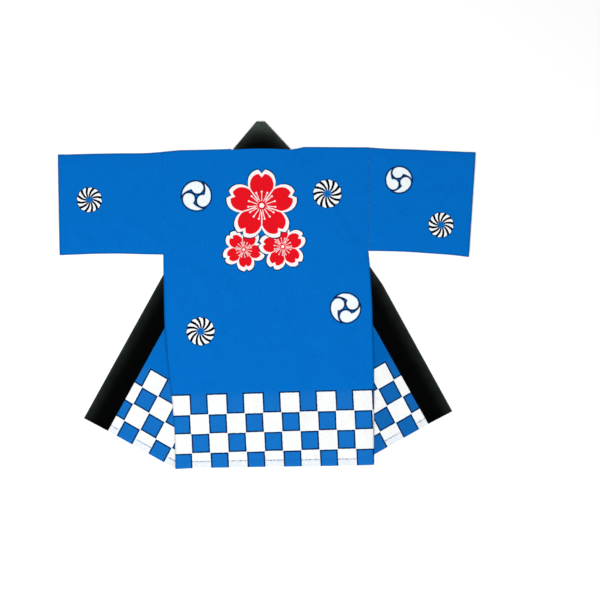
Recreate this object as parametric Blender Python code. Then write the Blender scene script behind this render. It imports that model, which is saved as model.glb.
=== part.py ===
"""A happi coat laid flat with its back upwards, each front folded out to the side.

Its pieces: back, two fronts, two sleeves and one collar band. Millimetres, with the
origin on the floor under the middle of the coat, +X to the wearer's right, +Y to the
neck and +Z up.
"""

import math

import bmesh
import bpy
from mathutils import Vector

METRES = 0.001  # one millimetre, in Blender's unit

FAR = 900.0  # further than any point of the coat
NEAR = 0.01  # points closer than this are one

# Cloth
CLOTH = 1.0  # wall of the cloth
BAND = 2.4  # wall of the collar band, cloth folded over its stiffening
GAP = 0.3  # between pieces that are sewn together or lie on each other
NECK_GAP = 0.6  # between the curved neck seam and the flats of the band
FOLD_STEPS = 6  # flats round half a turn of folded cloth

# Heights of each layer's middle above the floor
FLOOR_LAYER = CLOTH / 2
BAND_LAYER = BAND / 2
FRONT_LAYER = BAND + GAP + CLOTH / 2
BACK_ON_FRONT = CLOTH + GAP
BACK_LAYER = FRONT_LAYER + BACK_ON_FRONT
NECK_LAYER = BAND + GAP + BAND / 2

FRONT_FOLD = (FRONT_LAYER - FLOOR_LAYER) / 2  # radius of the fold in each front
NECK_FOLD = (NECK_LAYER - BAND_LAYER) / 2  # radius of the collar's turn at the neck

# How a layer comes down beside what it lies on: (distance from it, share of the drop)
OUTER_DROP = ((0.0, 0.0), (7.0, 0.3), (15.0, 0.75), (23.0, 1.0))
INNER_DROP = ((3.0, 0.0), (16.0, 0.12), (38.0, 0.5), (60.0, 0.88), (75.0, 1.0))

# Back
HEM_POINTS = ((-198.3, -462.0), (-6.0, -458.6), (207.6, -455.6))  # (x, y) between the corners
NECK_ENDS = (-90.0, 66.6)  # x where the collar's sides meet the shoulders
NECK_Y = 387.4
NECK_RISE = 2.9  # the neck seam's curve
NECK_STEPS = 6  # flats along the neck seam
BACK_GRID = 52.0  # between the lines that the back may bend along
BACK_LINES = 10  # such lines to each side of the middle

# Collar band
BAND_WIDTH = 72.0
PEAK_Y = 462.4
PEAK_ENDS = (-26.6, -3.4)  # x of the collar's top edge behind the neck
PIVOT = 3.0  # the band turns on a small round at each end of the neck seam
BAND_END = PIVOT + BAND_WIDTH
FAN_STEPS = 6  # flats round the turn
HALVES_GAP = 1.2  # between the collar's two halves where they meet under the neck
BAND_STRIPS = 3  # faces across the band
TIP_CLEARANCE = 3.0  # a front's fold stops this far short of the band

SLEEVE_STRIPS = 5  # faces from the underarm seam to the shoulder fold

# One column for each side of the coat
SIDES = {
    "left": dict(
        outward=-1,
        # (x, y) from the hem's corner to the underarm
        side_seam=(
            (-242.0, -464.2),
            (-244.2, -371.1),
            (-251.7, -272.3),
            (-262.3, -186.9),
            (-270.9, -82.8),
            (-274.9, 107.8),
        ),
        # (x, y) from the armhole to the neck
        shoulder=((-274.9, 382.0), (-231.0, 386.0), (-95.0, 389.9)),
        # (x, y) of the front's hem, from the side seam to the fold
        front_hem=((-242.0, -463.8), (-235.6, -462.8)),
        fold_angle=12.0,  # from upright, outwards going down
        # (x, y) of the folded-out hem, from the fold to the band
        out_hem=((-243.6, -463.0), (-422.7, -362.9)),
        # outer edge of the band: hem, where it comes out from under the coat
        band_edge=((-486.7, -328.9), (-282.0, 41.2)),
        # inner edge of the band: hem, then beside the second outer point
        seam_edge=((-422.7, -362.9), (-220.3, 4.4)),
        # sleeve: (x under, y under, x top, y top, hollow between its layers)
        sleeve=(
            (-275.2, 107.8, -275.2, 382.0, 0.3),
            (-326.0, 108.6, -326.0, 378.5, 1.4),
            (-390.0, 110.3, -392.0, 378.0, 2.1),
            (-454.0, 109.8, -458.0, 377.0, 2.4),
            (-505.0, 107.9, -510.0, 375.6, 2.0),
            (-551.2, 106.4, -556.0, 374.4, 1.5),
        ),
    ),
    "right": dict(
        outward=1,
        side_seam=(
            (287.2, -452.8),
            (287.2, -200.0),
            (283.6, -72.0),
            (282.0, -16.0),
            (276.4, 69.4),
            (272.3, 117.5),
        ),
        shoulder=((272.3, 393.8), (100.8, 394.8), (79.4, 389.9), (71.5, 388.8)),
        front_hem=((287.2, -428.3), (274.0, -433.8)),
        fold_angle=16.3,
        out_hem=((432.5, -344.3),),
        band_edge=((496.4, -310.6), (310.4, 27.6)),
        seam_edge=((432.5, -344.3), (244.2, -7.4)),
        sleeve=(
            (272.6, 117.5, 272.6, 393.8, 0.3),
            (325.0, 116.7, 325.0, 390.3, 1.2),
            (380.0, 114.8, 385.0, 388.4, 1.9),
            (435.0, 111.0, 447.0, 385.6, 2.4),
            (490.0, 107.1, 505.0, 383.2, 2.1),
            (540.6, 101.7, 558.7, 380.6, 1.6),
        ),
    ),
}

# Finishes: (red, green, blue, roughness)
BLUE_COTTON = (0.003, 0.15, 0.56, 0.85)
BLACK_COTTON = (0.006, 0.007, 0.007, 0.8)


# Plan geometry


def share_along(table, distance):
    """The second column of a table, read in straight lines at this distance."""
    for (start, low), (end, high) in zip(table, table[1:]):
        if distance <= end:
            return low + (high - low) * max(distance - start, 0) / (end - start)
    return table[-1][1]


def beyond(line, point):
    """How far a point lies beyond a line, held as (point on it, unit normal)."""
    return (Vector(point) - line[0]).dot(line[1])


def line_through(start, end, toward):
    """The line through two points, its normal on the side of a third."""
    start, end = Vector(start), Vector(end)
    along = (end - start).normalized()
    normal = Vector((-along.y, along.x))
    if normal.dot(Vector(toward) - start) < 0:
        normal.negate()
    return start, normal


def shifted(line, distance):
    return line[0] + line[1] * distance, line[1]


def neck_seam(x):
    """The back's neck edge, a low curve between the two shoulders."""
    middle = sum(NECK_ENDS) / 2
    half = (NECK_ENDS[1] - NECK_ENDS[0]) / 2
    return NECK_Y + NECK_RISE * max(0.0, 1 - ((x - middle) / half) ** 2)


# The folds that shape the layers


def collar_turn(side):
    """Where the band turns at one end of the neck seam: its centre, and the unit
    vectors along the fold and out of the coat."""
    outward = side["outward"]
    end = 0 if outward < 0 else 1
    corner = Vector((NECK_ENDS[end], NECK_Y))
    along = (Vector((PEAK_ENDS[end], PEAK_Y)) - corner).normalized()
    out = Vector((along.y, -along.x)) * outward
    fold = corner - out * (NECK_FOLD + BAND / 2)
    climb = (neck_seam(fold.x) + NECK_GAP - fold.y) / along.y
    return fold + along * (climb - PIVOT), along, out


def band_start(side):
    """The unit vector across the band where it leaves the turn."""
    centre = collar_turn(side)[0]
    low = Vector(side["band_edge"][1])
    down = (low - centre).normalized()
    across = Vector((-down.y, down.x)) * -side["outward"]
    return across if across.x * side["outward"] < 0 else -across


def lines_of(side):
    """The plan lines that a side's layers bend along."""
    centre = collar_turn(side)[0]
    across = band_start(side)
    outer = line_through(
        side["band_edge"][1], centre + across * PIVOT, side["sleeve"][-1][:2]
    )
    top = centre + across * BAND_END
    inner = line_through(side["seam_edge"][1], top, (-side["outward"] * FAR, 0.0))
    foot = Vector(side["front_hem"][-1])
    lean = math.radians(side["fold_angle"])
    up = Vector((-side["outward"] * math.sin(lean), math.cos(lean)))
    inward = Vector((-side["outward"] * up.y, side["outward"] * up.x))
    return outer, inner, (foot, inward), up


def front_height(side, point):
    outer = lines_of(side)[0]
    drop = share_along(OUTER_DROP, beyond(outer, point))
    return FRONT_LAYER - (FRONT_LAYER - FLOOR_LAYER) * drop


def back_height(point):
    """The back lies on the fronts and comes down to the floor between them."""
    heights = []
    for side in SIDES.values():
        outer, inner, fold, _ = lines_of(side)
        if beyond(outer, point) > 0:
            return front_height(side, point) + BACK_ON_FRONT
        past = min(beyond(fold, point), beyond(inner, point))
        drop = share_along(INNER_DROP, past)
        heights.append(BACK_LAYER - (BACK_LAYER - FLOOR_LAYER) * drop)
    return max(heights)


# Making objects


def material(name, red, green, blue, roughness):
    made = bpy.data.materials.new(name)
    made.use_nodes = True
    shader = made.node_tree.nodes["Principled BSDF"]
    shader.inputs["Base Color"].default_value = (red, green, blue, 1)
    shader.inputs["Roughness"].default_value = roughness
    shader.inputs["Metallic"].default_value = 0.0
    return made


def finish(shape, name, wall, cloth):
    """Makes an object of a layer's middle, and gives it its wall."""
    bmesh.ops.recalc_face_normals(shape, faces=shape.faces[:])
    bmesh.ops.scale(shape, vec=(METRES,) * 3, verts=shape.verts[:])
    bmesh.ops.triangulate(shape, faces=shape.faces[:])
    mesh = bpy.data.meshes.new(name)
    shape.to_mesh(mesh)
    shape.free()
    mesh.materials.append(cloth)
    piece = bpy.data.objects.new(name, mesh)
    bpy.context.scene.collection.objects.link(piece)
    thick = piece.modifiers.new("wall", "SOLIDIFY")
    thick.thickness = wall * METRES
    thick.offset = 0.0
    thick.use_even_offset = True
    return piece


def panel(name, outline, bends, place, cloth):
    """A flat cut of cloth, creased along its bends, each point then put in its place."""
    shape = bmesh.new()
    shape.faces.new([shape.verts.new((x, y, 0)) for x, y in outline])
    for point, normal in bends:
        bmesh.ops.bisect_plane(
            shape,
            geom=shape.verts[:] + shape.edges[:] + shape.faces[:],
            dist=NEAR,
            plane_co=(point.x, point.y, 0),
            plane_no=(normal.x, normal.y, 0),
        )
    for vert in shape.verts:
        vert.co = place(vert.co.xy)
    return finish(shape, name, CLOTH, cloth)


def loft(name, rings, wall, cloth):
    """A layer through rings of points, closed where a ring ends at its start."""
    shape = bmesh.new()
    along, across = len(rings) - 1, len(rings[0]) - 1
    bmesh.ops.create_grid(shape, x_segments=along, y_segments=across, size=0.5)
    for vert in shape.verts:
        ring = rings[round((vert.co.x + 0.5) * along)]
        vert.co = ring[round((vert.co.y + 0.5) * across)]
    bmesh.ops.remove_doubles(shape, verts=shape.verts[:], dist=NEAR)
    return finish(shape, name, wall, cloth)


# Pieces


def make_back(cloth):
    left, right = SIDES["left"], SIDES["right"]
    width = NECK_ENDS[1] - NECK_ENDS[0]
    neck = [NECK_ENDS[0] + width * i / NECK_STEPS for i in range(NECK_STEPS + 1)]
    outline = [
        *left["side_seam"][:1],
        *HEM_POINTS,
        *right["side_seam"],
        *right["shoulder"][:-1],
        *((x, neck_seam(x)) for x in reversed(neck)),
        *reversed(left["shoulder"][:-1]),
        *reversed(left["side_seam"][1:]),
    ]
    bends = []
    for side in SIDES.values():
        outer, _, fold, _ = lines_of(side)
        bends += [shifted(outer, distance) for distance, _ in OUTER_DROP]
        bends.append(shifted(fold, INNER_DROP[0][0]))
    for axis in (Vector((1, 0)), Vector((0, 1))):
        steps = range(-BACK_LINES, BACK_LINES)
        bends += [(axis * BACK_GRID * (i + 0.5), axis) for i in steps]
    return panel(
        "back", outline, bends, lambda at: (at.x, at.y, back_height(at)), cloth
    )


def make_front(name, side, cloth):
    """One cloth from the side seam to the band, folded under itself along a line from
    the hem's corner to the neck. The cut is laid out flat, then folded."""
    outer, inner, fold, up = lines_of(side)
    foot, inward = fold
    turn = math.pi * FRONT_FOLD

    def unfolded(point):
        """Where a point of the folded-out part lies in the flat cut."""
        offset = Vector(point) - foot
        return foot + up * offset.dot(up) + inward * (turn - offset.dot(inward))

    # The seam to the band: from the hem, past the band's bend, to just short of the fold
    hem_end, bend = (Vector(point) for point in side["seam_edge"])
    band_top = collar_turn(side)[0] + band_start(side) * BAND_END
    seam_up = (band_top - bend).normalized()
    reach = (-(bend - foot).dot(inward) - TIP_CLEARANCE) / seam_up.dot(inward)
    tip = bend + seam_up * reach
    seam = [point + inner[1] * GAP for point in (hem_end, bend, tip)]
    tip_height = (tip - foot).dot(up)

    outline = [
        *side["front_hem"][:1],
        foot,
        unfolded(foot),
        *(unfolded(point) for point in side["out_hem"][:-1]),
        *(unfolded(point) for point in seam),
        foot + up * tip_height - inward * GAP,
        *reversed(side["shoulder"]),
        *reversed(side["side_seam"][1:]),
    ]
    steps = [turn * i / FOLD_STEPS for i in range(FOLD_STEPS + 1)]
    bends = [shifted(fold, distance) for distance in steps]
    bends += [shifted(outer, distance) for distance, _ in OUTER_DROP]

    def folded(at):
        past = beyond(fold, at)
        if past <= 0:
            return (at.x, at.y, front_height(side, at))
        on_fold = at - inward * past
        if past >= turn:
            spot = on_fold - inward * (past - turn)
            return (spot.x, spot.y, FLOOR_LAYER)
        angle = past / FRONT_FOLD
        spot = on_fold + inward * FRONT_FOLD * math.sin(angle)
        drop = FRONT_FOLD * (1 - math.cos(angle))
        return (spot.x, spot.y, FRONT_LAYER - drop)

    return panel(name, outline, bends, folded, cloth)


def make_sleeve(name, side, cloth):
    """A flat tube: its two layers meet in the shoulder fold and the underarm seam."""
    rings = []
    for x_under, y_under, x_top, y_top, hollow in side["sleeve"]:
        radius = (CLOTH + hollow) / 2
        margin = radius + CLOTH / 2
        height = y_top - y_under
        ring = []

        def add(y, z):
            share = (y - y_under) / height
            ring.append((x_under + (x_top - x_under) * share, y, z))

        for i in range(SLEEVE_STRIPS + 1):
            share = i / SLEEVE_STRIPS
            add(y_under + margin + (height - 2 * margin) * share, FLOOR_LAYER)
        for i in range(1, FOLD_STEPS):
            angle = math.pi * i / FOLD_STEPS
            y = y_top - margin + radius * math.sin(angle)
            add(y, FLOOR_LAYER + radius * (1 - math.cos(angle)))
        for i in range(SLEEVE_STRIPS + 1):
            share = 1 - i / SLEEVE_STRIPS
            add(y_under + margin + (height - 2 * margin) * share, FLOOR_LAYER + 2 * radius)
        for i in range(1, FOLD_STEPS + 1):
            angle = math.pi * i / FOLD_STEPS
            y = y_under + margin - radius * math.sin(angle)
            add(y, FLOOR_LAYER + radius * (1 + math.cos(angle)))
        rings.append(ring)
    return loft(name, rings, CLOTH, cloth)


def band_ring(start, end, height):
    """Points across the band, from its outer or neck edge to the other."""
    start, end = Vector(start), Vector(end)
    spots = [start.lerp(end, i / BAND_STRIPS) for i in range(BAND_STRIPS + 1)]
    return [(spot.x, spot.y, height) for spot in spots]


def half_collar(side):
    """Rings from the hem up one arm, round the end of the neck seam and over it."""
    centre, along, out = collar_turn(side)
    across = band_start(side)
    middle = (sum(NECK_ENDS) + side["outward"] * HALVES_GAP) / 2
    rings = []
    for start, end in zip(side["band_edge"], side["seam_edge"]):
        rings.append(band_ring(start, end, BAND_LAYER))
    first = math.atan2(across.y, across.x) % (2 * math.pi)
    turning = along.angle_signed(across)
    for i in range(FAN_STEPS + 1):
        angle = first + turning * i / FAN_STEPS
        toward = Vector((math.cos(angle), math.sin(angle)))
        reach = (middle - centre.x) / toward.x
        if toward.y > 0:
            reach = min(reach, (PEAK_Y - centre.y) / toward.y)
        else:
            reach = min(reach, BAND_END)
        rings.append(band_ring(centre + toward * PIVOT, centre + toward * reach, BAND_LAYER))
    for i in range(1, FOLD_STEPS + 1):
        angle = math.pi * i / FOLD_STEPS
        start = centre + along * PIVOT + out * NECK_FOLD * math.sin(angle)
        end = start + along * (PEAK_Y - start.y) / along.y
        height = BAND_LAYER + NECK_FOLD * (1 - math.cos(angle))
        rings.append(band_ring(start, end, height))
    return rings


def make_collar(cloth):
    left, right = half_collar(SIDES["left"]), half_collar(SIDES["right"])
    neck_left, peak_left = Vector(left[-1][0]), Vector(left[-1][-1])
    neck_right, peak_right = Vector(right[-1][0]), Vector(right[-1][-1])
    over_neck = []
    for i in range(1, NECK_STEPS):
        base = neck_left.lerp(neck_right, i / NECK_STEPS)
        base.y = neck_seam(base.x) + NECK_GAP
        peak = peak_left.lerp(peak_right, i / NECK_STEPS)
        over_neck.append(band_ring(base.xy, peak.xy, NECK_LAYER))
    return loft("collar", left + over_neck + right[::-1], BAND, cloth)


def main():
    for thing in list(bpy.data.objects):
        bpy.data.objects.remove(thing)
    blue = material("blue_cotton", *BLUE_COTTON)
    black = material("black_cotton", *BLACK_COTTON)
    make_back(blue)
    for name, side in SIDES.items():
        make_front(f"front_{name}", side, blue)
        make_sleeve(f"sleeve_{name}", side, blue)
    make_collar(black)


main()
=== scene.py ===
"""The looks of a happi coat laid flat with its back upwards, each front folded out.

Millimetres until a piece is finished, with the origin on the floor under the middle of
the coat, +X to the wearer's right, +Y to the neck and +Z up.
"""

import math
from collections import namedtuple

import bmesh
import bpy
from mathutils import Matrix, Vector, noise


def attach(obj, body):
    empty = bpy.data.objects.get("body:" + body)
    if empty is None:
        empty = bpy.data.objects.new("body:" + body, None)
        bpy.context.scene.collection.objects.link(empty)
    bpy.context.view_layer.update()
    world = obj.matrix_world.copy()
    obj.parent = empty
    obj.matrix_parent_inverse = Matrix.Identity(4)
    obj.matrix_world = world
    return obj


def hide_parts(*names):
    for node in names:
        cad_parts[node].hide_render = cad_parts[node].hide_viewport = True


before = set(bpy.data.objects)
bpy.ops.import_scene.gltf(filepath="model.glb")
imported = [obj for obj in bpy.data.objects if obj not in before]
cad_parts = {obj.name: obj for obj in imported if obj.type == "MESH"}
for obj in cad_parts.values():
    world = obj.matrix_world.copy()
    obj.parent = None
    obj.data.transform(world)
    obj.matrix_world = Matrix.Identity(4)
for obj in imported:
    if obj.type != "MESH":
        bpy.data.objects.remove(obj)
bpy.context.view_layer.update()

METRES = 0.001  # one millimetre, in Blender's unit

# Cloth
CLOTH = 0.7  # wall of the cloth
HEM_WALL = 1.15  # wall where a hem is turned up
BAND = 2.3  # wall of the collar band, cloth folded over its stiffening
GAP = 0.3  # between pieces that lie on each other
SEAM_GAP = 0.1  # between pieces that are sewn together
NECK_GAP = 0.5  # between the neck seam and the band
EDGE_ROUND = 0.3  # of a piece's edges, as a share of its wall
SHARP_EDGE = 50.0  # degrees, from which an edge is rounded

# Meshes
WEAVE = 5.0  # size of a panel's faces
CURVE_STEPS = 8  # from one point of a curve to the next
SLEEVE_STEPS = 12  # the same, along a sleeve
SLIVER = 0.15  # points of a front nearer than this are made one
NEAR = 0.01  # points nearer than this are one point
FAR = 900.0  # beyond every part of the coat

# Heights of each layer's middle above the floor
FLOOR_LAYER = CLOTH / 2
BAND_LAYER = BAND / 2
FRONT_LAYER = 3.1
BACK_ON_FRONT = CLOTH + GAP
BACK_LAYER = FRONT_LAYER + BACK_ON_FRONT
NECK_LAYER = 3.9

FRONT_FOLD = (FRONT_LAYER - FLOOR_LAYER) / 2  # radius of the fold in each front
FRONT_FOLD_STEPS = 10
NECK_FOLD = (NECK_LAYER - BAND_LAYER) / 2  # radius of the collar's turn at the neck

# How a layer comes down beside what it lies on: (start, end) of the slope
OUTER_DROP = (0.0, 23.0)
INNER_DROP = (3.0, 75.0)

# Hems
HEM = 17.5  # from the edge to the line of stitches
CUFF = 14.0  # the same, on a sleeve
ROLL = 0.28  # how far an edge rolls inwards
ROLL_ROWS = (1.6, 0.5)  # rows of faces that follow the roll
ROLL_SHARES = (0.35, 0.0)  # of the roll, that the rows inside the edge follow
HEM_STEP = (-1.0, 4.0)  # over the stitches, where the hem's wall thins to the cloth's

# Back: (x, y) along its hem, between its corners, and its neck edge
HEM_POINTS = ((-198.3, -462.0), (-6.0, -458.6), (207.6, -455.6))
NECK_ENDS = (-90.0, 66.6)  # x where the collar's sides meet the shoulders
NECK_Y = 387.4
NECK_RISE = 2.9  # of the neck edge, in its middle
NECK_FOOT = (-11.0, 350.0)  # a place below the neck, between the collar's folds

# Collar band
BAND_WIDTH = 72.0
BAND_CROWN = 0.25  # how far the middle of its width swells
PEAK_Y = 462.4
PEAK_ENDS = (-26.6, -3.4)  # x where the peak's sides meet its top
PIVOT = 3.0  # radius of the turn's inner edge
BAND_END = PIVOT + BAND_WIDTH
HALVES_GAP = 1.2  # between the two halves where they meet under the peak
TIP_CLEARANCE = 9.0  # from a front's fold to the top of its seam with the band
TIP_RISE = 20.0  # from there up to where the fold ends
FAN_STEPS = 28  # rings round the turn
TURN_STEPS = 10  # rings over the fold at the neck seam
NECK_STEPS = 26  # rings along the neck seam
BAND_STRIPS = 14  # faces across the band

# Sleeves
SLEEVE_FOLD = 0.6  # how far the folds at the shoulder and underarm bulge
SLEEVE_PUFF = 22.0  # how far in from those folds the sleeve reaches its full hollow
SLEEVE_ROWS = 46  # faces from the underarm to the shoulder
SLEEVE_FOLD_ROWS = 8  # faces round a fold

# One column for each side of the coat
SIDES = {
    "left": dict(
        outward=-1,
        # (x, y) from the hem's corner to the underarm
        side_seam=(
            (-242.0, -464.2),
            (-244.2, -371.1),
            (-251.7, -272.3),
            (-262.3, -186.9),
            (-270.9, -82.8),
            (-274.9, 107.8),
        ),
        # (x, y) from the armhole to the neck
        shoulder=((-274.9, 382.0), (-231.0, 386.0), (-95.0, 389.9)),
        # (x, y) of the front's hem, from the side seam to the fold
        front_hem=((-242.0, -463.8), (-235.6, -462.8)),
        fold_angle=12.0,  # from upright, outwards going down
        # (x, y) of the folded-out hem, from the fold to the band
        out_hem=((-243.6, -463.0), (-422.7, -362.9)),
        # outer edge of the band: hem, where it comes out from under the coat
        band_edge=((-486.7, -328.9), (-282.0, 41.2)),
        # inner edge of the band: hem, then beside the second outer point
        seam_edge=((-422.7, -362.9), (-220.3, 4.4)),
        # sleeve: (x under, y under, x top, y top, hollow between its layers)
        sleeve=(
            (-275.2, 107.8, -275.2, 382.0, 0.3),
            (-326.0, 108.6, -326.0, 378.5, 1.4),
            (-390.0, 110.3, -392.0, 378.0, 2.1),
            (-454.0, 109.8, -458.0, 377.0, 2.4),
            (-505.0, 107.9, -510.0, 375.6, 2.0),
            (-551.2, 106.4, -556.0, 374.4, 1.5),
        ),
        # checks on the folded-out front: a corner, then one check across and one down
        checks=((-265.2, -225.6), (-42.12, 24.42), (-23.72, -44.68)),
    ),
    "right": dict(
        outward=1,
        side_seam=(
            (287.2, -452.8),
            (287.2, -200.0),
            (283.6, -72.0),
            (282.0, -16.0),
            (276.4, 69.4),
            (272.3, 117.5),
        ),
        shoulder=((272.3, 393.8), (100.8, 394.8), (79.4, 389.9), (71.5, 388.8)),
        front_hem=((287.2, -428.3), (274.0, -433.8)),
        fold_angle=16.3,
        out_hem=((432.5, -344.3),),
        band_edge=((496.4, -310.6), (310.4, 27.6)),
        seam_edge=((432.5, -344.3), (244.2, -7.4)),
        sleeve=(
            (272.7, 117.5, 272.7, 393.8, 0.3),
            (325.0, 116.7, 325.0, 390.3, 1.2),
            (380.0, 114.8, 385.0, 388.4, 1.9),
            (435.0, 111.0, 447.0, 385.6, 2.4),
            (490.0, 107.1, 505.0, 383.2, 2.1),
            (540.6, 101.7, 558.7, 380.6, 1.6),
        ),
        checks=((275.2, -206.1), (41.69, 24.4), (23.41, -45.03)),
    ),
}
BACK_CHECKS = ((-253.7, -270.1), (48.6, 1.37), (2.43, -51.23))
CHECK = (48.6, 51.2)  # one check across and down, as the cloth is printed

# Creases: soft ridges from one point to another, bowed sideways in the middle
Crease = namedtuple("Crease", "x y x_end y_end bow width height")
BACK_CREASES = (
    Crease(-264, 116, -98, 186, 10, 13, 2.4),
    Crease(-262, 84, -150, 30, -9, 16, 1.7),
    Crease(-268, 20, -190, -72, 6, 12, 1.1),
    Crease(-232, 142, -160, 232, 7, 11, 1.2),
    Crease(262, 122, 138, 196, -11, 14, 2.2),
    Crease(268, 84, 150, 8, 8, 15, 1.6),
    Crease(276, -6, 218, -84, -5, 11, 1.0),
    Crease(236, 150, 176, 236, -6, 10, 1.1),
    Crease(-151, -92, -168, -438, 12, 18, 1.7),
    Crease(-46, -30, -66, -430, -14, 24, 1.2),
    Crease(88, -132, 112, -456, 10, 17, 1.8),
    Crease(196, -76, 221, -442, -9, 15, 1.4),
    Crease(-104, -238, -92, -470, 5, 12, 1.3),
    Crease(24, -270, 36, -466, -6, 13, 1.2),
    Crease(-214, 366, -94, 318, -8, 14, 1.3),
    Crease(206, 372, 82, 326, 8, 15, 1.5),
    Crease(-70, 376, -44, 290, 5, 12, 1.1),
    Crease(52, 378, 30, 300, -4, 11, 1.0),
    Crease(-236, -252, -202, -452, 6, 10, 1.1),
    Crease(262, -232, 254, -446, -4, 11, 1.2),
    Crease(-30, 60, 96, 18, 8, 22, 0.8),
    Crease(-128, 6, -8, -42, -7, 19, 0.7),
)
SLEEVE_CREASES = (
    Crease(-292, 128, -424, 214, 11, 14, 2.6),
    Crease(-300, 160, -376, 262, 7, 11, 1.7),
    Crease(-296, 356, -430, 314, -8, 16, 1.8),
    Crease(-446, 124, -534, 178, -6, 12, 1.6),
    Crease(-466, 360, -556, 334, 5, 13, 1.4),
    Crease(-398, 142, -482, 268, -9, 18, 1.3),
    Crease(-500, 210, -560, 232, 4, 11, 1.1),
    Crease(290, 136, 412, 230, -10, 15, 2.4),
    Crease(304, 172, 352, 268, 6, 10, 1.6),
    Crease(294, 370, 430, 338, 9, 15, 1.7),
    Crease(438, 122, 528, 160, 6, 11, 1.6),
    Crease(412, 246, 510, 296, -8, 19, 1.2),
    Crease(472, 368, 556, 338, -5, 12, 1.5),
    Crease(500, 196, 556, 206, 4, 10, 1.0),
)
FRONT_CREASES = (
    Crease(-276, -176, -342, -376, 7, 11, 1.5),
    Crease(-300, -144, -402, -368, -6, 10, 1.1),
    Crease(-262, -290, -296, -434, -4, 9, 1.3),
    Crease(302, -166, 352, -358, -6, 10, 1.4),
    Crease(318, -138, 408, -342, 5, 9, 1.0),
    Crease(292, -276, 316, -414, 4, 8, 1.2),
)
CREASE_RISE = (0.0, 0.35)  # shares of its length, where a crease comes up
CREASE_FALL = (0.55, 1.0)  # and where it dies away
CREASE_REACH = 3.0  # in crease widths, from its middle to the flat cloth
UNEVEN = ((150.0, 0.8), (48.0, 0.3))  # (size, height) of the cloth's soft unevenness
PUCKER = (9.0, 0.35, 11.0)  # spacing, height and reach of the puckers along a hem
WAVE = (62.0, 1.5, 38.0)  # spacing, height and reach of the waves of a loose edge
WAVE_SHARE = 0.3  # the higher, the more of the edge is lifted
# Each kind of unevenness is taken from another slice of the noise
BACK_NOISE, FRONT_NOISE, SLEEVE_NOISE, PUCKER_NOISE, WAVE_NOISE = 1.0, 2.0, 4.0, 3.7, 8.2

# Where creases start and reach their height, from the fold or seam they run to
OFF_FRONT_FOLD = (8.0, 40.0)
OFF_SLEEVE_FOLDS = (2.0, 14.0)
OFF_ARMHOLE = (0.0, 22.0)
BAND_CLIMB = 7.0  # from the band, where a front's cloth starts to climb into its seam

# Stitches
STITCH = 3.2  # from one stitch to the next
STITCH_THREAD = (2.6, 0.7, 0.45)  # length, width and height of a stitch
STITCH_FACES = (6, 4)  # round a stitch, seen from above, and from its foot to its top
STITCH_SEAT = HEM_WALL * 0.4  # a stitch's middle over the middle of a hem's cloth
BAND_STITCHES = 3.5  # from the band's seam to its topstitching
HEM_END = 4.0  # from the back's corners to its first and last stitch
NECK_END = 5.0  # the same, from the ends of the neck seam
# The same in the other rows, as shares of the row
FRONT_FOLD_END = 0.06
FRONT_BAND_END = 0.008
CUFF_END = 0.012
ARM_END = 0.004

# Prints, in plan: crests of commas, twisted chrysanthemums and blossoms
Crest = namedtuple("Crest", "x y radius head_angle tails")
CRESTS = (
    Crest(-186.3, 264.6, 38.2, 82.7, 1),
    Crest(354.0, 307.3, 33.5, 99.0, -1),
    Crest(211.5, -34.9, 38.4, 32.7, 1),
)
Wheel = namedtuple("Wheel", "x y radius blade_angle sweep")
WHEELS = (
    Wheel(-471.5, 253.8, 33.2, 6.7, -31.0),
    Wheel(163.1, 270.2, 38.0, 7.0, 30.0),
    Wheel(466.2, 186.6, 33.3, 3.2, -31.0),
    Wheel(-175.0, -97.1, 37.6, 18.7, 32.0),
)
Blossom = namedtuple("Blossom", "x y radius petal_angle")
BLOSSOMS = (
    Blossom(-60.0, 121.0, 47.0, 62.0),
    Blossom(44.0, 129.0, 53.0, 100.0),
    Blossom(-12.0, 239.0, 85.0, 90.0),
)
OUTLINE = 4.2  # the dark line round each print
WHEEL_RIM = 2.2  # the dark line round a chrysanthemum
FRINGE = 0.6  # how far the dye creeps into a print, and the print into the dye
PRINT_EDGE = 0.4  # width over which the edge of a print fades
CHECKS_FADE = 24.0  # width over which the blue turns paler at the top of the checks

# A crest's commas, in shares of its radius
COMMAS = 3
COMMA_HEAD = (0.405, 0.575)  # radius, and how far out its middle lies
COMMA_WAIST = 0.56  # how far out the tail begins
COMMA_CURL = (1.18, 0.71)  # the same as for the head, for the curve inside the tail
CURL_TURN = 1.475  # from the head round to that curve's middle, in heads

# A chrysanthemum's blades, the other shares being of its radius
BLADES = 12
BLADE_TURN = 0.6  # how far out a blade points as blade_angle says
BLADE_GAP = (0.14, 3.0)  # between blades: a share of the way out, and a width
BLADE_TIP = (0.25, 0.07)  # its lean, in half blades, and how far its corners fall short
BLADE_ROOT = (0.3, 0.17)  # how it narrows to a point, and how far out that lies
INK_ROOT = 2.5  # from there to the start of the ink between blades

# A blossom, in shares of its radius
PETALS = 5
PETAL_SIDE = (2.6, 0.42)  # how square its shoulders are, and how deep the petals part
PETAL_NOTCH = (0.16, 0.13)  # half its width, in half petals, and its depth
PETAL_SLOPE = 0.82  # of the petals' edge, which runs across the rays
VEIN = (0.018, 0.2)  # between petals: half its width, and where it starts
STAMENS = 15
STAMEN = (0.012, 0.14, 0.4)  # half its width, where it starts and where it ends
ANTHER = (0.03, 0.43)  # radius, and how far out
HEART = 0.075  # radius of the white spot in the middle
BLOSSOM_BORDER = 9.0  # white, round the petals
BLOSSOM_OUTLINE = 2.6  # dark, round that

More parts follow.
